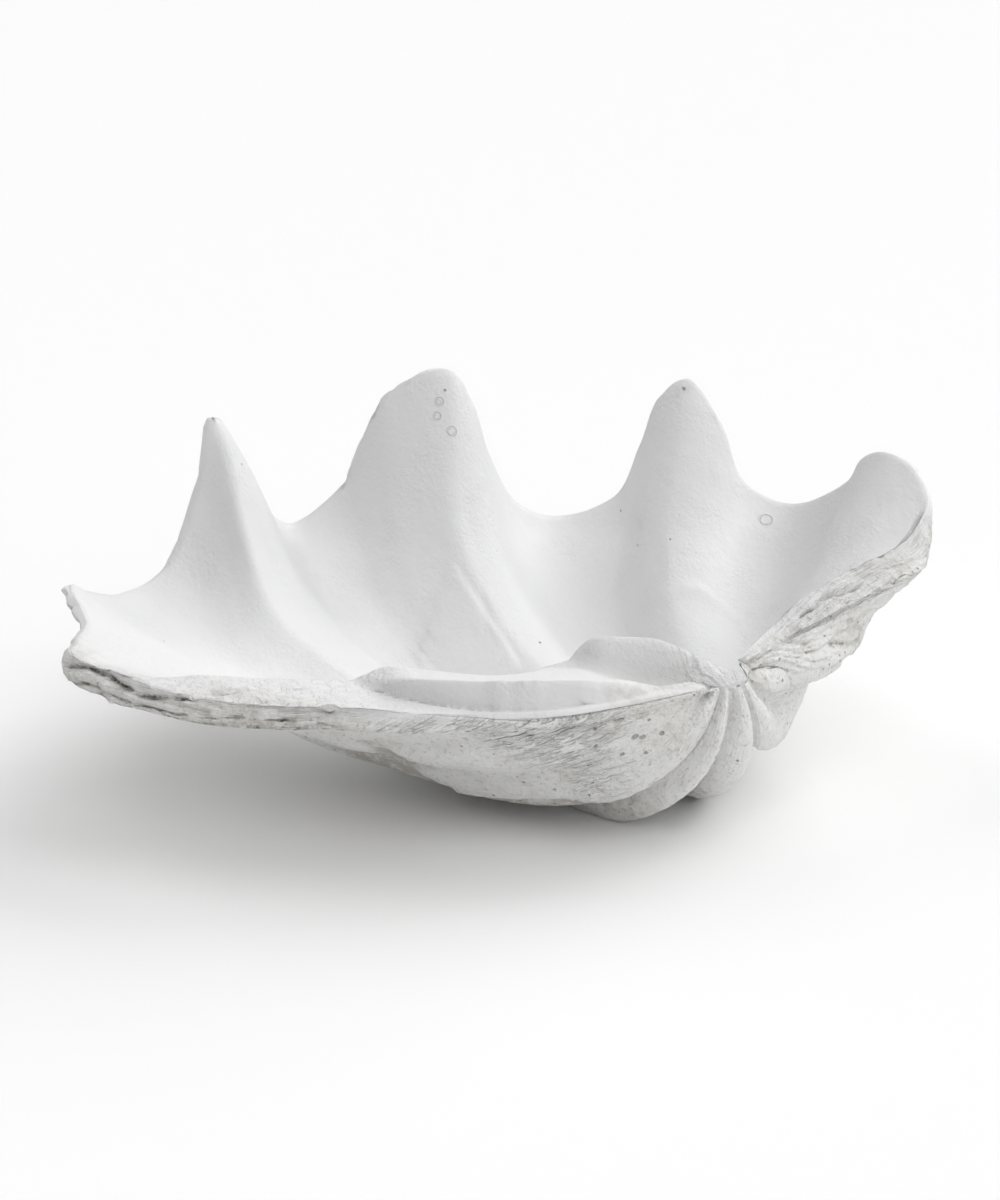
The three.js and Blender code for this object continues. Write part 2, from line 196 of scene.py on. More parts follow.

# Brown and grey patches, partly stains of the shell and partly painted shade, as along the front wall
# of the wing: place, reach, strength
STAINS_AND_SHADE = [
    (-340, 128, -3, 24, 0.25), (-318, 96, -3, 20, 0.25), (-356, 150, 0, 16, 0.35),
    (-349, 165, 4, 12, 0.3), (-300, 72, -8, 20, 0.6), (-280, 60, -9, 20, 0.6),
    (-262, 50, -10, 18, 0.6), (-242, 40, -10, 16, 0.5), (-75, -14, 3, 14, 0.35),
    (-50, -12, 3, 14, 0.4), (-28, -9, 2, 12, 0.4), (-254, 36, -9, 10, 0.5),
    (-232, 30, -12, 12, 0.5), (-290, 56, -6, 10, 0.4), (-60, -13, -8, 12, 0.5),
    (-40, -14, -8, 9, 0.5), (-80, -14, -14, 12, 0.3), (-45, -12, -28, 16, 0.3),
    (128, 45, 28, 12, 0.5), (147, 50, 28, 10, 0.5), (105, 28, 5, 16, 0.4), (112, 32, -6, 16, 0.4),
    (-42, 26, -96, 26, 0.4), (-70, 48, -100, 26, 0.4), (-8, 30, -102, 26, 0.35),
    (-12, -8, -14, 6, 0.5), (-2, -9, -18, 7, 0.5), (9, -8, -20, 7, 0.45), (18, 2, -4, 7, 0.4),
]

# Camera, from the photograph: 90 mm lens, 1.8 m from the umbo
AZIMUTH = np.radians(-24)
ELEVATION = np.radians(20)
UMBO_DISTANCE = 1800
SENSOR = 36
FOCAL_PIXELS = 3000
FRAME_PIXELS = (1000, 1200)
UMBO_PIXEL = (723, 672)

# Studio lights, all wide and soft: degrees round from the camera's right towards the back,
# degrees up, and strength. The first is the key.
LIGHTS = {
    "key": (48, 34, 1.38),
    "side": (0, 48, 0.8),
    "top": (0, 90, 0.6),
    "front_right": (-40, 35, 0.55),
    "front": (-90, 40, 0.8),
    "left": (148, 40, 0.75),
}
LIGHT_ANGLE = np.radians(48)
FLOOR_HALF = 40000


# Small helpers

def smooth(t):
    t = np.clip(t, 0, 1)
    return t * t * (3 - 2 * t)


def step(value, zero, one):
    """0 at the first place and 1 at the second, smoothly, and level beyond them."""
    return smooth((value - zero) / (one - zero))


def band(value, start, full, last, end):
    """1 from full to last, fading to 0 at start and at end."""
    return step(value, start, full) * step(value, end, last)


def mix(a, b, share):
    return a + (b - a) * share


def unit(vectors):
    return vectors / np.maximum(np.linalg.norm(vectors, axis=-1, keepdims=True), 1e-9)


def along(table, column, x):
    """A smooth line through the rows of a table: one column as a function of x."""
    rows = np.array(table, float)
    xs, ys = rows[:, 0], rows[:, column]
    x = np.clip(x, xs[0], xs[-1])
    i = np.clip(np.searchsorted(xs, x, side="right") - 1, 0, len(xs) - 2)
    slope = np.empty(len(xs))
    slope[1:-1] = (ys[2:] - ys[:-2]) / (xs[2:] - xs[:-2])
    slope[0] = (ys[1] - ys[0]) / (xs[1] - xs[0])
    slope[-1] = (ys[-1] - ys[-2]) / (xs[-1] - xs[-2])
    width = xs[i + 1] - xs[i]
    w = (x - xs[i]) / width
    v = 1 - w
    line = ys[i] * (1 + 2 * w) * v * v + ys[i + 1] * w * w * (3 - 2 * w)
    return line + width * (slope[i] * w * v * v - slope[i + 1] * w * w * v)


def lengths_of(points):
    steps = np.linalg.norm(np.diff(points, axis=0), axis=1)
    return np.concatenate([[0], np.cumsum(steps)])


def noise(points, size, seed):
    """Smooth random values from -1 to 1 with features of the given size, in mm."""
    cells = 24
    lattice = np.random.default_rng(seed).uniform(-1, 1, (cells, cells, cells))
    place = points / size
    low = np.floor(place).astype(int)
    w = smooth(place - low)
    low %= cells
    high = (low + 1) % cells
    total = 0
    for corner in range(8):
        up = [(corner >> axis) & 1 for axis in range(3)]
        at = tuple(np.where(up[axis], high[..., axis], low[..., axis]) for axis in range(3))
        share = np.prod([w[..., a] if up[a] else 1 - w[..., a] for a in range(3)], axis=0)
        total = total + share * lattice[at]
    return total


# The rim

def rim_curve():
    """Centripetal Catmull-Rom curve through the stations."""
    points = RIM[:, :3]
    u = np.clip(np.arange(LAST * SAMPLES + 1) / SAMPLES, 0, LAST - 1e-9)
    i = np.floor(u).astype(int)
    w = (u - i)[:, None]
    ends = np.vstack([2 * points[:1] - points[1:2], points, 2 * points[-1:] - points[-2:-1]])
    p0, p1, p2, p3 = (ends[i + k] for k in range(4))

    def gap(a, b):
        return np.linalg.norm(a - b, axis=1)[:, None] ** 0.5

    d0, d1, d2 = gap(p0, p1), gap(p1, p2), gap(p2, p3)
    t1 = ((p1 - p0) / d0 - (p2 - p0) / (d0 + d1) + (p2 - p1) / d1) * d1
    t2 = ((p2 - p1) / d1 - (p3 - p1) / (d1 + d2) + (p3 - p2) / d2) * d1
    curve = p1 + t1 * w + (3 * (p2 - p1) - 2 * t1 - t2) * w ** 2
    return curve + (2 * (p1 - p2) + t1 + t2) * w ** 3


def averaged(vectors, lengths, span):
    weights = np.exp(-((lengths[:, None] - lengths[None, :]) / span) ** 2) * np.gradient(lengths)
    mean = (weights @ vectors) / weights.sum(1, keepdims=True)
    to_end = np.minimum(lengths, lengths[-1] - lengths)
    return mix(vectors, mean, step(to_end, 0, 2 * span)[:, None])


def inward_normals(points):
    x, y, z = points.T
    growth = np.stack([-GROWTH * x, z - GROWTH * y, -y - GROWTH * z], 1)
    return unit(np.cross(growth, np.gradient(points, axis=0)))


def make_rim():
    inner = rim_curve()
    lengths = lengths_of(inner)
    wall = np.interp(np.arange(len(inner)) / SAMPLES, np.arange(len(RIM)), RIM[:, 3])[:, None]
    steadied = inward_normals(averaged(inner, lengths, WALL_SPAN))
    normal = unit(averaged(steadied, lengths, WALL_SPAN / 2))
    outer = inner - wall * normal
    base = averaged(outer, lengths_of(outer), FOLD_SPAN)
    base_normal = unit(averaged(inward_normals(base), lengths, FOLD_SPAN * 0.7))
    return {"inner": inner, "length": lengths[:, None], "wall": wall, "normal": normal,
            "base": base, "base_normal": base_normal, "fold": outer - base}


rim = make_rim()


def rays_at(stations):
    at = stations * SAMPLES
    grid = np.arange(len(rim["inner"]))
    rays = {}
    for name, values in rim.items():
        columns = [np.interp(at, grid, values[:, k]) for k in range(values.shape[1])]
        rays[name] = np.stack(columns, 1)[:, None, :]
    rays["station"] = stations[:, None, None]
    rays["x"] = rays["inner"][..., :1]
    rays["size"] = np.linalg.norm(rays["inner"], axis=-1, keepdims=True)
    rays["end"] = np.minimum(BEAK_TURN, np.log(rays["size"] / BEAK_RADIUS) / GROWTH)
    return rays


# Growth of the wall

def turned(vectors, turn):
    c, s = np.cos(turn), np.sin(turn)
    x, y, z = (vectors[..., k] for k in range(3))
    return np.stack([x + 0 * c, c * y + s * z, c * z - s * y], -1)


def left_share(x):
    return step(x, -80, -200)


def fold_at(rays, turn):
    """The fold that a ray meets at a turn."""
    lag = along(FOLD_LAG, 1, rays["x"]) * band(np.degrees(turn), 0, 15, 20, 58)
    lengths = rim["length"][:, 0]
    at = np.minimum(rays["length"] + lag, lengths[-1])[..., 0]
    return np.stack([np.interp(at, lengths, rim["fold"][:, k]) for k in range(3)], -1)


def outside_fold(turn, x):
    """Share of the fold's height that the outside keeps."""
    return 1 - mix(0.3, 0.55, left_share(x)) * band(np.degrees(turn), 0, 20, 34, 64)


def inside_fold(turn, x):
    """Share of the fold's height that the hollow keeps."""
    degrees, left = np.degrees(turn), left_share(x)
    upper = mix(0.4, 0.6, left) * step(degrees, 0, mix(20, 16, left))
    return 1 - upper - mix(0.32, 0.17, left) * step(degrees, 15, 63)


def end_swell(turn, x):
    arch = np.sin(np.pi * np.clip(turn / SWELL_TURN, 0, 1)) ** 0.8
    return END_SWELL * step(x, 20, 110) * arch


def beak_points(rays):
    way = np.arctan2(rays["base"][..., 1], rays["base"][..., 0])
    return BEAK_RADIUS * np.stack([np.cos(way), -np.sin(way), -BEAK_DROP + 0 * way], -1)


def outside_points(rays, turn):
    points = rays["base"] + fold_at(rays, turn) * outside_fold(turn, rays["x"])
    points = points * np.exp(-GROWTH * turn) - end_swell(turn, rays["x"]) * rays["base_normal"]
    to_beak = step(turn / rays["end"], 0.72, 1)
    return mix(turned(points, turn[..., 0]), beak_points(rays), to_beak)


def inside_points(rays, turn):
    height = inside_fold(turn, rays["x"])
    points = (rays["base"] + fold_at(rays, turn) * height) * np.exp(-GROWTH * turn)
    facing = unit(mix(rays["base_normal"], rays["normal"], height))
    deep = (FLOOR_WALL + rays["wall"] / 2) * step(rays["size"], 0, FULL_WALL_RADIUS)
    wall = mix(rays["wall"], deep, step(np.degrees(turn), 0, 50))
    offset = turned(facing * wall, turn[..., 0])
    offset[..., 1:2] *= step(rays["station"], 0, 3)
    return turned(points, turn[..., 0]) + offset


def edge_bow(x, station):
    """How far the near edge bows forward."""
    return EDGE_BOW * band(x, -200, -100, -26, 14) * step(station, 8, 0)


# Hinge plate with its two teeth, as a height over the plan

def ledge_height(x, y):
    behind = y - along(LEDGE_FRONT, 1, x)
    brow = along(LEDGE_BROW, 1, x) * np.exp(-np.maximum(behind, 0) / BROW_REACH)
    height = LEDGE_HEIGHT * band(x, -212, -186, -72, -38) + brow
    return np.maximum(height, 0) * step(behind, -LEDGE_STEP / 2, LEDGE_STEP / 2)


def up_the_face(x, y):
    """0 at the foot of the cardinal tooth's front and 1 at its crest."""
    foot, crest = along(TOOTH_FRONT, 1, x), along(TOOTH_CREST, 1, x)
    return (y - foot) / np.maximum(crest - foot, TOOTH_LEAST_WIDTH)


def tooth_share(x, y):
    """How far the cardinal tooth has risen at a place: 0 in front of it, 1 on its crest."""
    rise = up_the_face(x, y)
    behind = (y - along(TOOTH_CREST, 1, x)) / TOOTH_BACK
    return np.where(rise < 1, np.clip(rise, 0, 1) ** TOOTH_SCOOP, np.clip(1 - behind ** 2, 0, 1))


def socket_depth(x, y):
    """The hollow below the front of the cardinal tooth."""
    rise = np.clip(up_the_face(x, y), 0, 1)
    return SOCKET_DEPTH * band(x, -92, -62, -30, -8) * np.sin(np.pi * rise ** 0.8) ** 1.3


def plate_height(x, y):
    plate = PLATE_HEIGHT + WING_RISE * step(x, -200, -340)
    ledge = ledge_height(x, y)
    tooth = np.maximum(along(TOOTH_CREST, 2, x), ledge)
    return plate + mix(ledge, tooth, tooth_share(x, y)) - socket_depth(x, y)


def plate_share(x, y):
    """1 on the plate, 0 in the hollow."""
    behind = y - along(PLATE_BACK, 1, x)
    return step(behind, PLATE_DROP / 2, -PLATE_DROP / 2) * step(x, 22, 6)


# Rows of points along the rays. Inside, a spiral runs down from the rim and a straight bridge
# joins it to the beak, and both are lifted to the plate where it covers them.

def outside_rows(rays):
    points = outside_points(rays, rays["end"] * OUTSIDE_SHARES[None, :, None])
    points[..., 1] -= edge_bow(points[..., 0], rays["station"][..., 0])
    return points


def inside_rows(rays):
    t = np.linspace(0, 1, FINE)[None, :, None]
    beak = beak_points(rays)
    spiral = inside_points(rays, rays["end"] * FLOOR_TURN / BEAK_TURN * t)
    points = np.concatenate([spiral, mix(spiral[:, -1:], beak, t[:, 1:])], 1)
    points[..., 1] -= edge_bow(points[..., 0], rays["station"][..., 0])
    row = np.arange(points.shape[1])[None, :]
    x, y, z = (points[..., k] for k in range(3))
    share = plate_share(x, y) * step(row / points.shape[1], 0, 0.06)
    on_bridge = np.maximum(row - FINE + 1, 0) / (FINE - 1)
    height = mix(z, plate_height(x, y), share)
    points[..., 2] = mix(height, beak[..., 2], step(on_bridge, 0.86, 1))
    return np.array([spaced(ray) for ray in points])


def spaced(points):
    """Fewer points along a ray, spaced mostly by length."""
    lengths = lengths_of(points)
    place = mix(lengths / lengths[-1], np.linspace(0, 1, len(points)), EVEN_SHARE)
    wanted = np.linspace(0, 1, INSIDE_ROWS)
    return np.stack([np.interp(wanted, place, points[:, k]) for k in range(3)], 1)


def rim_rows(rays, outer):
    crest = rays["wall"] * np.where(rays["wall"] < THIN_RIM, CREST_ROUND, CREST_FLAT)
    share = (np.arange(1, RIM_ROWS + 1) / (RIM_ROWS + 1))[None, :, None]
    points = mix(rays["inner"], outer, share)
    return points + unit(rays["inner"]) * crest * np.sin(np.pi * share)


stations = np.linspace(0, LAST, LAST * RAYS_PER_STATION + 1)
rays = rays_at(stations)
outside = outside_rows(rays)
inside = inside_rows(rays)[:, ::-1][:, 1:]
crest = rim_rows(rays, outside[:, :1])
loops = np.concatenate([outside, inside, crest], 1)

ray_count, loop_size = loops.shape[:2]
RIM_START = loop_size - RIM_ROWS


def near_edge(first):
    """Loops past the first ray that round off the near edge of the plate."""
    lower = first[:OUTSIDE_ROWS]
    upper = first[OUTSIDE_ROWS:RIM_START][::-1]

    def at(half, x):
        return np.stack([np.interp(x, half[:, 0], half[:, k]) for k in (1, 2)], 1)

    other = [at(upper, lower[:, 0]), at(lower, upper[:, 0])[::-1], first[RIM_START:, 1:][::-1]]
    middle = first.copy()
    middle[:, 1:] = (first[:, 1:] + np.concatenate(other)) / 2
    round_off = mix(0.08, 1, step(first[:, :1], -200, -140))
    forward = np.abs(first[:, 2:] - middle[:, 2:]) * round_off * np.array([0, -EDGE_BULGE, 0])
    angles = EDGE_TURN * np.arange(EDGE_LOOPS, 0, -1)[:, None, None] / EDGE_LOOPS * round_off
    return middle + (first - middle) * np.cos(angles) + forward * np.sin(angles)


# Which side a point is on, and how far along its ray it lies from the rim

def depths(points):
    """How far each point lies from the rim along its ray."""
    steps = np.linalg.norm(np.diff(points, axis=1), axis=2)
    return np.concatenate([np.zeros((len(points), 1)), np.cumsum(steps, 1)], 1)


def with_edge(values):
    """The same values for the loops of the near edge as on the first ray."""
    values = np.broadcast_to(values, (ray_count, loop_size))
    return np.concatenate([np.repeat(values[:1], EDGE_LOOPS, 0), values])


across = (np.arange(RIM_ROWS) + 1) / (RIM_ROWS + 1)
is_outside = np.zeros(loop_size)
is_outside[:OUTSIDE_ROWS] = 1
is_outside[RIM_START:] = smooth(across)
turn = np.zeros((ray_count, loop_size))
turn[:, :OUTSIDE_ROWS] = rays["end"][:, 0] * OUTSIDE_SHARES
depth = np.zeros((ray_count, loop_size))
depth[:, :OUTSIDE_ROWS] = depths(outside)
depth[:, OUTSIDE_ROWS:RIM_START] = depths(inside[:, ::-1])[:, ::-1]
layer = np.zeros((ray_count, loop_size))
layer[:, RIM_START:] = across * rays["wall"][:, 0]
layer[:, :OUTSIDE_ROWS] = rays["wall"][:, 0] + depth[:, :OUTSIDE_ROWS]
layer[:, OUTSIDE_ROWS:RIM_START] = -depth[:, OUTSIDE_ROWS:RIM_START]

loops = np.concatenate([near_edge(loops[0]), loops])
is_outside, turn, depth, layer = (with_edge(v) for v in (is_outside, turn, depth, layer))
rim_length, station, wall = (with_edge(rays[name][:, 0]) for name in ("length", "station", "wall"))
ray_count += EDGE_LOOPS

# Thick broken edges at the wing and at the right margin, 1 on them and 0 off them
thick = step(wall, 10, 16) * np.maximum(step(station, 7.5, 5.5), step(station, 33, 36))
on_edge = thick * step(depth, 11, 2)
on_inside = (is_outside == 0) & (depth > 20)


def grid_normals(points):
    across_rays = np.gradient(points, axis=0)
    along_loop = np.roll(points, -1, 1) - np.roll(points, 1, 1)
    normals = unit(np.cross(across_rays, along_loop))
    just_outside = 5
    facing = (normals[EDGE_LOOPS:, just_outside] * rays["base_normal"][:, 0]).sum()
    return -normals if facing > 0 else normals


# Relief

def sawtooth(phase):
    """Rises slowly from 0 to 1 and falls back in a short step."""
    part = phase % 1
    return np.where(part < 0.85, part / 0.85, (1 - part) / 0.15)


def near_line(points, width, places):
    """1 on a line through the places, fading to 0 beside it."""
    line = np.array(places, float)
    nearest = np.full(points.shape[:2], 1e9)
    for start, end in zip(line[:-1], line[1:]):
        way = end - start
        share = np.clip(((points - start) @ way) / (way @ way), 0, 1)
        gap = points - start - share[..., None] * way
        nearest = np.minimum(nearest, np.linalg.norm(gap, axis=-1))
    return np.exp(-(nearest / width) ** 2)


def growth_relief(points):
    """Steps and fine lines that run with the rim, and riblets across them."""
    fade = np.exp(-0.5 * turn) * step(depth, 0, 10)
    steps = sawtooth(turn * GROWTH_STEPS + 0.4 * noise(points, 90, 4)) - 0.5
    steps = steps * (0.9 + 0.5 * noise(points, 60, 6))
    lines = 0.2 * np.sin(2 * np.pi * (turn * GROWTH_LINES + 0.7 * noise(points, 60, 5)))
    riblets = 0.3 * np.cos(2 * np.pi * (rim_length + 5 * noise(points, 50, 7)) / RIBLET_WIDTH)
    return is_outside * fade * (steps + lines + riblets)


def cast_relief(points):
    """Soft unevenness, rougher on the outside."""
    rough = mix(0.25, 1, is_outside)
    broad = 0.5 * noise(points, 48, 1) + 0.25 * noise(points, 19, 2)
    return broad + rough * 0.25 * noise(points, 7, 3)


def layer_relief(points):
    """Broken layers along the thick edges, worn back at the corner of the wing."""
    place = layer / LAYER_THICKNESS + 0.7 * noise(points, 45, 8) + 0.25 * noise(points, 14, 9)
    steps = (0.65 + 0.6 * noise(points, 30, 10)) * (sawtooth(place) - 0.6)
    rough = 0.7 * noise(points, 6, 11) + 0.5 * noise(points, 3, 12)
    crumbs = band(station, 2.6, 3.2, 5.8, 6.3) * (1.6 * noise(points, 9, 22) + rough)
    worn = CORNER_WEAR * band(station, 1, 1.8, 3.1, 4) * step(layer / wall, 0.5, 0.9)
    off_beak = step(np.linalg.norm(points, axis=-1), 0, 90)
    return on_edge * off_beak * (LAYER_RELIEF * steps + rough + crumbs - worn)


def flake_relief(points):
    """Thin flakes over the front of the outside, running down to the left, and where they are."""
    x, y, z = np.moveaxis(points, -1, 0)
    front = is_outside * step(y, 30, 5) * band(x, -260, -200, -95, -45)
    stretched = np.stack([(x + 1.2 * z) / 7, y / 5, z - 0.55 * x], -1)
    flakes = sawtooth(noise(stretched, 9, 13) * 1.6)
    return front * (0.9 * flakes + 0.5 * noise(stretched, 4, 14)), front


def crag_relief(points):
    """Worn steps across the outside below the right margin."""
    place = is_outside * step(station, 33.5, 35.5) * band(depth, 0, 12, 110, 150)
    steps = sawtooth(depth / CRAG_SPACING + 1.3 * noise(points, 34, 15)) - 0.4
    return place * (1.5 * steps + 1.2 * noise(points, 14, 16) + 0.6 * noise(points, 6, 26))


def shoulder_relief():
    """The outside bulges beside the umbo, and the underside of the front is drawn in."""
    beside = band(station, 30, 33, 36.4, 37.6) * band(depth, 50, 90, 200, 260)
    below = band(station, 1.3, 2, 4.8, 5.8) * band(depth, 3, 21, 180, 220)
    return is_outside * SHOULDER_SHIFT * (beside - below)


def ledge_groove(points):
    """1 in the dark groove along the foot of the ledge, and less towards its right end."""
    x, y = points[..., 0], points[..., 1]
    foot = y - along(LEDGE_FRONT, 1, x) + 0.9 * LEDGE_STEP
    ends = band(x, -213, -207, -125, -95) * mix(0.25, 1, step(x, -130, -165))
    return on_inside * ends * np.exp(-(foot / 2.4) ** 2)


def ledge_face(points):
    """1 on the front of the ledge."""
    x, y = points[..., 0], points[..., 1]
    front = (y - along(LEDGE_FRONT, 1, x)) / LEDGE_STEP
    return on_inside * band(x, -165, -145, -95, -70) * np.exp(-(front / 0.9) ** 2)


def ledge_striae(points):
    """Short upright grooves on the front of the ledge."""
    return ledge_face(points) * noise(points * (1, 0, 0), 4, 27)


def under_lip():
    """1 on the underside just behind the lower edge of the front face."""
    past = station - np.interp(depth, LIP_DEPTHS, LIP_STATIONS)
    return is_outside * band(depth, 190, 202, 350, 395) * band(past, 0, 0.35, 2.5, 4.5)


def scar_relief():
    """The raised muscle scar below the second tooth, between two lines down the hollow."""
    past_left = station - np.interp(depth, *SCAR_LEFT)
    to_right = np.interp(depth, *SCAR_RIGHT) - station
    between = step(past_left, 0, 0.22) * step(to_right, 0, 0.16)
    return SCAR_HEIGHT * between * on_inside * (depth < SCAR_END) * step(depth, 117, 129)


def rim_chips(points):
    """How far the thin edge is broken back, in mm along the ray."""
    broken = np.maximum(noise(points, 11, 17) + 0.5 * noise(points, 5, 18) - 0.1, 0)
    worse = 1 + 2.5 * band(station, 4.8, 5.4, 7.6, 8.2)
    return CHIP_DEPTH * worse * broken * step(depth, 7, 0)


def relief(points):
    """Relief, the painted shade of its crevices, partly a stain along the foot of the ledge, and
    where the flakes are.
    """
    jagged = points + 2.0 * np.stack([noise(points, 10, seed) for seed in (19, 20, 21)], -1)
    jagged = jagged + 0.9 * np.stack([noise(points, 3.5, seed) for seed in (23, 24, 25)], -1)
    near_beak = step(np.linalg.norm(points, axis=-1), BEAK_RADIUS, BEAK_RADIUS + 12)
    flakes, front = flake_relief(points)
    height = growth_relief(points) + cast_relief(points) + crag_relief(points) + flakes
    height = near_beak * (height + shoulder_relief())
    height = height + layer_relief(points) + scar_relief() - LIP_STEP * under_lip()
    # How dark the crevices are painted: painted shade in the slits, and along the foot of the ledge
    # shade and a stain
    crevice_shade_and_stain = np.zeros(points.shape[:2])
    for width, deep, *places in CREVICES:
        line = near_line(jagged, width, places)
        height = height - deep * line
        crevice_shade_and_stain = np.maximum(crevice_shade_and_stain, line * min(deep / 4, 1))
    groove = GROOVE_DARK * ledge_groove(points)
    height = height - GROOVE_DEPTH * groove + STRIA_HEIGHT * ledge_striae(points)
    crevice_shade_and_stain = np.maximum(crevice_shade_and_stain, groove)
    for width, deep, *places in CREASES:
        height = height - deep * near_line(jagged, width, places)
    for *place, reach, deep in DENTS:
        away = np.linalg.norm(jagged - np.array(place), axis=-1) / reach
        height = height - deep * np.clip(1 - away ** 2, 0, 1) ** 2
    return height, crevice_shade_and_stain, front


def stain_and_shade_at(points):
    # Painted shade on the drawn-in underside behind the lower edge of the front face, then the
    # patches of the table
    stain_and_shade = LIP_SHADE * under_lip()
    for *place, reach, share in STAINS_AND_SHADE:
        away = np.linalg.norm(points - np.array(place), axis=-1) / reach
        stain_and_shade = np.maximum(stain_and_shade, share * np.exp(-away ** 2))
    return stain_and_shade


def blurred(values, reach):
    """Means over squares of the grid that reach that many points each way."""
    total = 0
    for shift in range(-reach, reach + 1):
        total = total + np.roll(values, shift, 1)
    padded = np.pad(total, ((reach, reach), (0, 0)), "edge")
    rows = [padded[i:i + len(values)] for i in range(2 * reach + 1)]
    return np.sum(rows, axis=0) / (2 * reach + 1) ** 2


# Mesh

def cap_faces(first, flipped):
    """A strip that closes an end loop between its two halves."""
    faces = []
    low, high = 0, loop_size - 1
    while high - low > 1:
        faces.append((low, low + 1, high))
        low += 1
        if high - low > 1:
            faces.append((low, high - 1, high))
            high -= 1
    return [tuple(first + i for i in (f if flipped else f[::-1])) for f in faces]


def loop_faces(count):
    at = np.arange(count * loop_size).reshape(count, loop_size)
    a, b = at[:-1], at[1:]
    quads = np.stack([a, b, np.roll(b, -1, 1), np.roll(a, -1, 1)], -1).reshape(-1, 4)
    faces = [tuple(int(i) for i in quad) for quad in quads]
    return faces + cap_faces(0, True) + cap_faces((count - 1) * loop_size, False)


def set_attribute(mesh, name, values):
    attribute = mesh.attributes.new(name, "FLOAT", "POINT")
    attribute.data.foreach_set("value", np.asarray(values, np.float32).ravel())


def make_mesh(name, points, faces):
    mesh = bpy.data.meshes.new(name)
    mesh.from_pydata((points * MM).tolist(), [], faces)
    mesh.validate()
    mesh.polygons.foreach_set("use_smooth", [True] * len(mesh.polygons))
    mesh.update()
    piece = bpy.data.objects.new(name, mesh)
    bpy.context.scene.collection.objects.link(piece)
    return piece


# The umbo's place in the frame, whose origin lies under the middle of the shell
low, high = loops.reshape(-1, 3).min(0), loops.reshape(-1, 3).max(0)
umbo = -(low + high) / 2
umbo[2] = -FOOT_LEVEL
height, crevice_shade_and_stain, front = relief(loops)
shaped = loops + grid_normals(loops) * height[..., None]
reach = along(MARGIN_REACH, 1, station) * step(depth, 40, 0) - rim_chips(loops)
shaped = shaped + unit(loops) * reach[..., None]
placed = shaped + umbo
placed[..., 2] = np.maximum(placed[..., 2], 0)

# Hollows between the folds of the outside, and small hollows of the relief, both darkened in the
# colour as painted shade
beside = np.roll(loops, RAYS_PER_STATION, 0) + np.roll(loops, -RAYS_PER_STATION, 0)
sunken = ((beside / 2 - loops) * grid_normals(loops)).sum(-1)
valley = np.clip(sunken / 3, 0, 1) * is_outside
hollow = np.clip((blurred(height, 3) - height) / 1.2, 0, 1)

on_plate = plate_share(loops[..., 0], loops[..., 1]) * (is_outside < 1) * (depth > 2)
on_wing = on_plate * step(loops[..., 0], -165, -215)
rise = tooth_share(loops[..., 0], loops[..., 1])
# Painted shade: a grey tint on the front of the cardinal tooth, strongest near its foot, and on the
# front of the ledge
face_shade = on_plate * band(loops[..., 0], -118, -88, -50, -5) * step(rise, 0, 0.12) * mix(1, 0.2, rise)
face_shade = face_shade + 0.4 * ledge_face(loops)

valve = make_mesh("valve", placed.reshape(-1, 3), loop_faces(ray_count))
for name, values in {
    "outside": is_outside,
    "rim_length": rim_length,
    "edge": on_edge,
    "layer": layer,
    "plate": on_wing,
    "tooth": face_shade,
    "beak": np.exp(-(np.linalg.norm(loops, axis=-1) / BEAK_REACH) ** 2),
    "front": front,
    "crevice_shade_and_stain": crevice_shade_and_stain,
    "valley": valley,
    "hollow": hollow,
    "stain_and_shade": stain_and_shade_at(loops),
}.items():
    set_attribute(valve.data, name, values)


# Material of the shell

def new_material(name):
    material = bpy.data.materials.new(name)
    material.use_nodes = True
    return material, material.node_tree.nodes, material.node_tree.links


class Shading:
    """Adds nodes to a material. An input is a number or the socket that feeds it."""

    def __init__(self, nodes, links):
        self.nodes = nodes
        self.links = links

    def add(self, kind, inputs, output=0, **settings):
        node = self.nodes.new("ShaderNode" + kind)
        for name, value in settings.items():
            setattr(node, name, value)
        for key, value in inputs.items():
            if isinstance(value, bpy.types.NodeSocket):
                self.links.new(value, node.inputs[key])
            else:
                node.inputs[key].default_value = value
        return node.outputs[output]

    def attribute(self, name):
        return self.add("Attribute", {}, "Fac", attribute_name=name)

    def math(self, operation, a, b=0.0):
        return self.add("Math", {0: a, 1: b}, operation=operation)

    def scaled(self, name, strength):
        """A vertex attribute times a number."""
        return self.math("MULTIPLY", self.attribute(name), strength)

    def total(self, parts):
        """The sum of values, each times its strength."""
        value = 0.0
        for part, strength in parts:
            value = self.math("ADD", value, self.math("MULTIPLY", part, strength))
        return value

    def step(self, value, low, high):
        """0 at low and 1 at high, smoothly."""
        return self.add("MapRange", {"Value": value, "From Min": low, "From Max": high},
                        interpolation_type="SMOOTHSTEP")

    def noise(self, place, size, detail=2.0, roughness=0.5):
        """Fractal noise with features of the given size in mm."""
        inputs = {"Vector": place, "Scale": 1000 / size, "Detail": detail, "Roughness": roughness}
        return self.add("TexNoise", inputs)

    def layers(self):
        """Fine layers that run along the broken edges."""
        through = self.scaled("layer", MM)
        around = self.scaled("rim_length", 0.06 * MM)
        return self.noise(self.add("CombineXYZ", {0: through, 1: around}), 2.6, 3.0, 0.6)

    def blend(self, share, a, b):
        return self.add("Mix", {0: share, 6: a, 7: b}, 2, data_type="RGBA")

    def pits(self, place, size, share, radius):
        """Round pits in a share of the cells of the given size, with radius up to that in mm."""
        inputs = {"Vector": place, "Scale": 1000 / size}
        distance = self.add("TexVoronoi", inputs, "Distance")
        colour = self.add("TexVoronoi", inputs, "Color")
        chance = self.add("SeparateColor", {0: colour})
        reach = self.math("MULTIPLY", self.step(chance, 1 - share, 1.0), radius / size)
        gap = self.math("SUBTRACT", reach, distance)
        return self.step(gap, 0.0, 0.35 * radius / size)


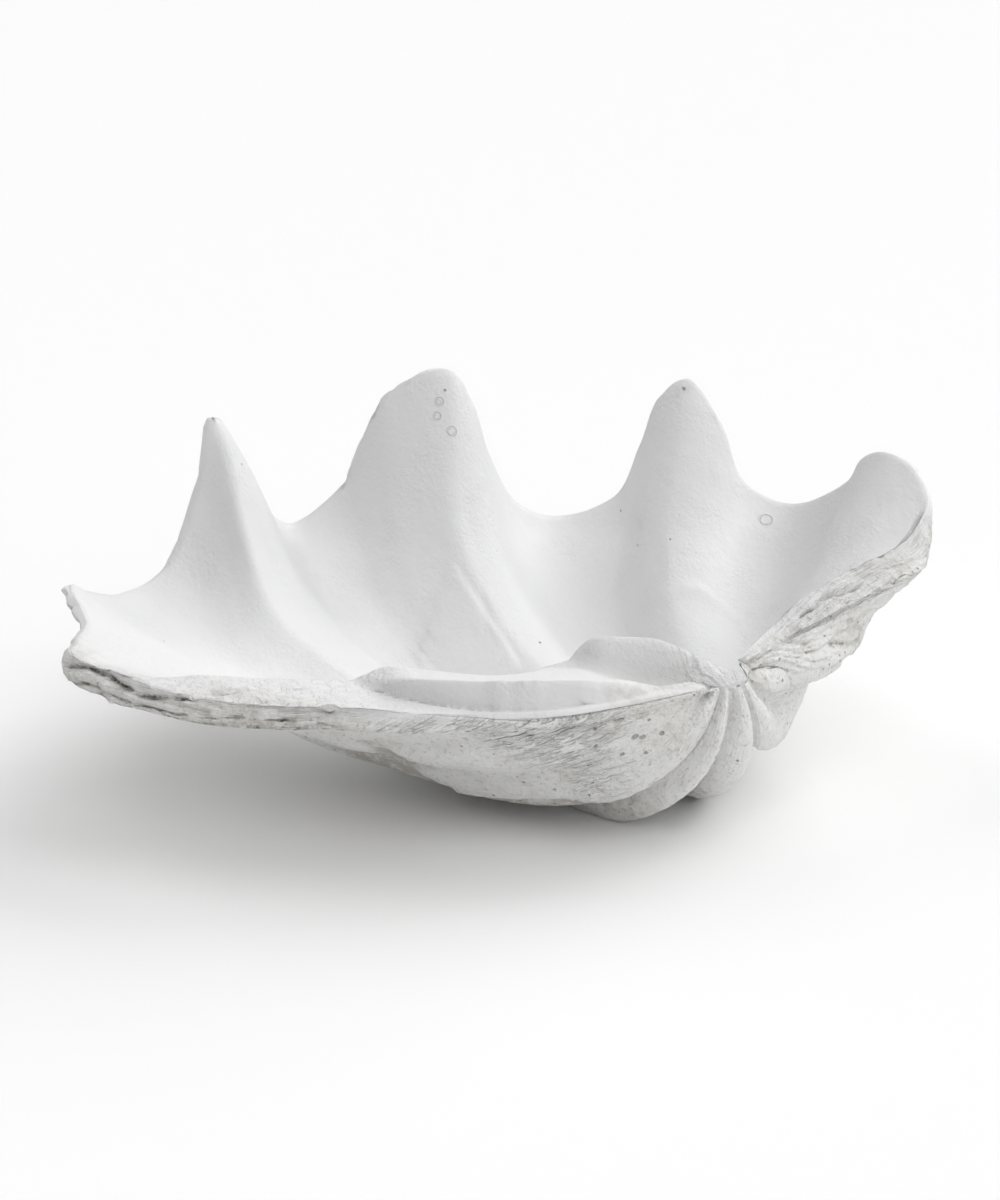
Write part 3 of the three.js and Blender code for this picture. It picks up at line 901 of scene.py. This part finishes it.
# Marks cast into the surface: place from the umbo and radius. Rings, then single pits.
RINGS = [(-53, 311, 92, 2.6), (-56, 308, 83, 2.4), (-49, 299, 74, 3.0), (152, 225, 7, 4.2)]
PITS = [
    (-64, -12, -27, 2.6), (-59, -12, -28, 2.4), (-68, -5, -41, 2.0), (-87, -5, -31, 1.6),
    (-47, -12, -27, 1.7), (-77, -7, -37, 1.5), (-100, -8, -30, 1.2), (-55, -9, -40, 1.2),
    (107, 262, 95, 1.3), (75, 218, 6, 0.8),
]
RING_LINE = 1.0
RING_DEPTH = 0.8
PIT_DEPTH = 1.2
# Ways along, beside and across the flakes of the outside, and how finely they vary that way
FLAKE_AXES = [(0.14, 0, 0.17), (0, 0.2, 0), (-0.55, 0, 1)]
WHITE = (0.80, 0.80, 0.804, 1)
CHALK = (0.84, 0.84, 0.832, 1)
# Colour of the stains and of the painted shade in the valleys, hollows and patches
STAIN_AND_SHADE = (0.47, 0.445, 0.39, 1)
PIT = (0.33, 0.31, 0.27, 1)
DARK = (0.15, 0.13, 0.105, 1)
CLOUD = (0.72, 0.72, 0.72, 1)
# Grey of the painted shade on the fronts of the cardinal tooth and the ledge
SHADE_GREY = (0.45, 0.445, 0.44, 1)


def shell_height(shade, place, outside, marks):
    """Fine relief in mm, and the share of the surface that is pitted."""
    flow = [shade.add("VectorMath", {0: place, 1: way}, "Value", operation="DOT_PRODUCT")
            for way in FLAKE_AXES]
    flow = shade.add("CombineXYZ", {0: flow[0], 1: flow[1], 2: flow[2]})
    flaky = shade.math("MULTIPLY", shade.noise(flow, 4.0, 3.0, 0.6),
                       shade.step(shade.noise(flow, 6, 3.0, 0.6), 0.42, 0.6))
    round_beak = shade.add("CombineXYZ", {0: shade.scaled("rim_length", MM)})
    layers = shade.layers()
    crumbs = shade.step(shade.noise(place, 5.0, 3.0, 0.65), 0.46, 0.62)
    uneven = shade.add("MapRange", {"Value": shade.noise(place, 40, 2.0), "From Min": 0.35,
                                    "From Max": 0.65, "To Min": 0.2, "To Max": 1.3})
    few = shade.pits(place, 16, 0.16, 1.3)
    many = shade.math("MULTIPLY", shade.pits(place, 5.5, 0.4, 1.3), outside)
    pitted = shade.math("MAXIMUM", shade.math("MAXIMUM", few, many), marks["pits"])
    # Each part of the relief with its strength in mm
    height = shade.total([
        (shade.noise(place, 2.6, 2.0, 0.6), shade.math("MULTIPLY", uneven, 0.75)),
        (shade.noise(place, 12, 2.0, 0.5), 1.0),
        (shade.noise(place, 3.4, 3.0, 0.6), shade.scaled("outside", 1.5)),
        (shade.noise(place, 11, 3.0, 0.6), shade.scaled("outside", 3.4)),
        (flaky, shade.scaled("front", 6.0)),
        (layers, shade.scaled("edge", 4.0)),
        (crumbs, shade.scaled("edge", 0.4)),
        (crumbs, shade.scaled("plate", 0.5)),
        (crumbs, shade.scaled("beak", 0.7)),
        (shade.noise(round_beak, 45, 3.0, 0.6), shade.scaled("beak", 3.2)),
        (pitted, -PIT_DEPTH),
        (marks["rings"], -RING_DEPTH),
    ])
    return height, pitted


def marked(shade, place):
    """The rings and the single pits, 1 on them. Pits may lie a little off the surface along Y."""
    rings, pits = 0.0, 0.0
    for x, y, z, radius in RINGS:
        centre = tuple((np.array((x, y, z)) + umbo) * MM)
        gap = shade.add("VectorMath", {0: place, 1: centre}, "Value", operation="DISTANCE")
        off = shade.math("ABSOLUTE", shade.math("SUBTRACT", gap, radius * MM))
        rings = shade.math("MAXIMUM", rings, shade.step(off, RING_LINE * MM, 0.2 * RING_LINE * MM))
    for x, y, z, radius in PITS:
        centre = tuple((np.array((x, y, z)) + umbo) * MM)
        away = shade.add("VectorMath", {0: place, 1: centre}, operation="SUBTRACT")
        away = shade.add("VectorMath", {0: away, 1: (1, 0.3, 1)}, operation="MULTIPLY")
        gap = shade.add("VectorMath", {0: away}, "Value", operation="LENGTH")
        pits = shade.math("MAXIMUM", pits, shade.step(gap, radius * MM, 0.5 * radius * MM))
    return {"rings": rings, "pits": pits}


def shell_colour(shade, place, outside, pitted):
    cloud = shade.noise(place, 34, 4.0, 0.6)
    patch = shade.step(shade.noise(place, 22, 5.0, 0.65), 0.45, 0.7)
    speck = shade.step(shade.noise(place, 3.2, 3.0, 0.65), 0.56, 0.66)
    colour = shade.blend(outside, WHITE, CHALK)
    colour = shade.blend(shade.math("MULTIPLY", cloud, 0.12), colour, CLOUD)
    in_hollow = shade.add("MapRange", {"Value": outside, "To Min": 0.08, "To Max": 0.6})
    # Painted shade in the valleys, the small hollows and the gaps between layers, with the outside's
    # darker tone, its specks and the patches
    dirt_and_shade = shade.total([
        (shade.attribute("valley"), 0.3),
        (shade.attribute("hollow"), in_hollow),
        (outside, 0.12),
    ])
    mottled = shade.math("ADD", shade.step(shade.noise(place, 7, 4.0, 0.7), 0.4, 0.62), 0.35)
    dirt_and_shade = shade.total([
        (dirt_and_shade, shade.math("ADD", patch, 0.2)),
        (shade.math("MULTIPLY", speck, outside), 0.45),
        (shade.step(shade.layers(), 0.42, 0.34), shade.scaled("edge", 0.3)),
        (shade.attribute("stain_and_shade"), mottled),
    ])
    colour = shade.blend(shade.math("MINIMUM", dirt_and_shade, 0.85), colour, STAIN_AND_SHADE)
    colour = shade.blend(shade.math("MULTIPLY", pitted, 0.75), colour, PIT)
    # Painted shade in the crevices, with a stain along the foot of the ledge
    crevice_shade_and_stain = shade.math("MULTIPLY", shade.step(shade.attribute("crevice_shade_and_stain"), 0.25, 1.0),
                         shade.step(shade.noise(place, 4, 4.0, 0.7), 0.38, 0.6))
    colour = shade.blend(crevice_shade_and_stain, colour, DARK)
    # Painted shade: the grey tint on the fronts of the cardinal tooth and the ledge
    return shade.blend(shade.scaled("tooth", 0.45), colour, SHADE_GREY)


def shell_material():
    material, nodes, links = new_material("shell")
    shade = Shading(nodes, links)
    shader = nodes["Principled BSDF"]
    place = shade.add("TexCoord", {}, "Object")
    outside = shade.attribute("outside")
    marks = marked(shade, place)
    height, pitted = shell_height(shade, place, outside, marks)
    links.new(shell_colour(shade, place, outside, pitted), shader.inputs["Base Color"])
    bump = shade.add("Bump", {"Height": height, "Distance": MM, "Strength": 1.0})
    links.new(bump, shader.inputs["Normal"])
    rough = shade.noise(place, 5, 3.0)
    links.new(shade.add("MapRange", {"Value": rough, "To Min": 0.62, "To Max": 0.86}),
              shader.inputs["Roughness"])
    shader.inputs["Specular IOR Level"].default_value = 0.3
    return material


valve.data.materials.append(shell_material())
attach(valve, "root")
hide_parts("shell_valve")


# Floor, lights and camera

def plain_material(name, colour, roughness):
    material, nodes, _ = new_material(name)
    nodes["Principled BSDF"].inputs["Base Color"].default_value = (*colour, 1)
    nodes["Principled BSDF"].inputs["Roughness"].default_value = roughness
    return material


def make_floor():
    corners = FLOOR_HALF * np.array([(-1, -1, 0), (1, -1, 0), (1, 1, 0), (-1, 1, 0)])
    floor = make_mesh("floor", corners, [(0, 1, 2, 3)])
    floor.data.materials.append(plain_material("paper", (0.93, 0.93, 0.93), 0.9))


def add_sun(name, around, up, strength):
    """A wide light from a direction given from the camera's right, in degrees."""
    light = bpy.data.lights.new(name, "SUN")
    light.energy = strength
    light.angle = LIGHT_ANGLE
    lamp = bpy.data.objects.new(name, light)
    bpy.context.scene.collection.objects.link(lamp)
    yaw = AZIMUTH + np.radians(around)
    rise = np.radians(up)
    way = Vector((np.cos(rise) * np.cos(yaw), np.cos(rise) * np.sin(yaw), np.sin(rise)))
    lamp.rotation_euler = way.to_track_quat("Z", "Y").to_euler()


def light_scene():
    world = bpy.data.worlds.new("studio")
    bpy.context.scene.world = world
    world.use_nodes = True
    world.node_tree.nodes["Background"].inputs["Color"].default_value = (0.02, 0.02, 0.02, 1)
    for name, (around, up, strength) in LIGHTS.items():
        add_sun(name, around, up, strength)
    bpy.context.scene.view_settings.view_transform = "Standard"


def make_camera():
    right = np.array([np.cos(AZIMUTH), np.sin(AZIMUTH), 0])
    back = np.array([np.sin(AZIMUTH) * np.cos(ELEVATION), -np.cos(AZIMUTH) * np.cos(ELEVATION),
                     np.sin(ELEVATION)])
    up = np.cross(back, right)
    aside = (UMBO_PIXEL[0] - FRAME_PIXELS[0] / 2) / FOCAL_PIXELS
    above = (FRAME_PIXELS[1] / 2 - UMBO_PIXEL[1]) / FOCAL_PIXELS
    place = umbo + UMBO_DISTANCE * (back - aside * right - above * up)
    data = bpy.data.cameras.new("camera")
    data.sensor_width = SENSOR
    data.lens = SENSOR * FOCAL_PIXELS / max(FRAME_PIXELS)
    camera = bpy.data.objects.new("camera", data)
    bpy.context.scene.collection.objects.link(camera)
    turn_matrix = Matrix(np.stack([right, up, back], 1).tolist()).to_4x4()
    camera.matrix_world = Matrix.Translation(Vector(place * MM)) @ turn_matrix
    bpy.context.scene.camera = camera


make_floor()
light_scene()
make_camera()
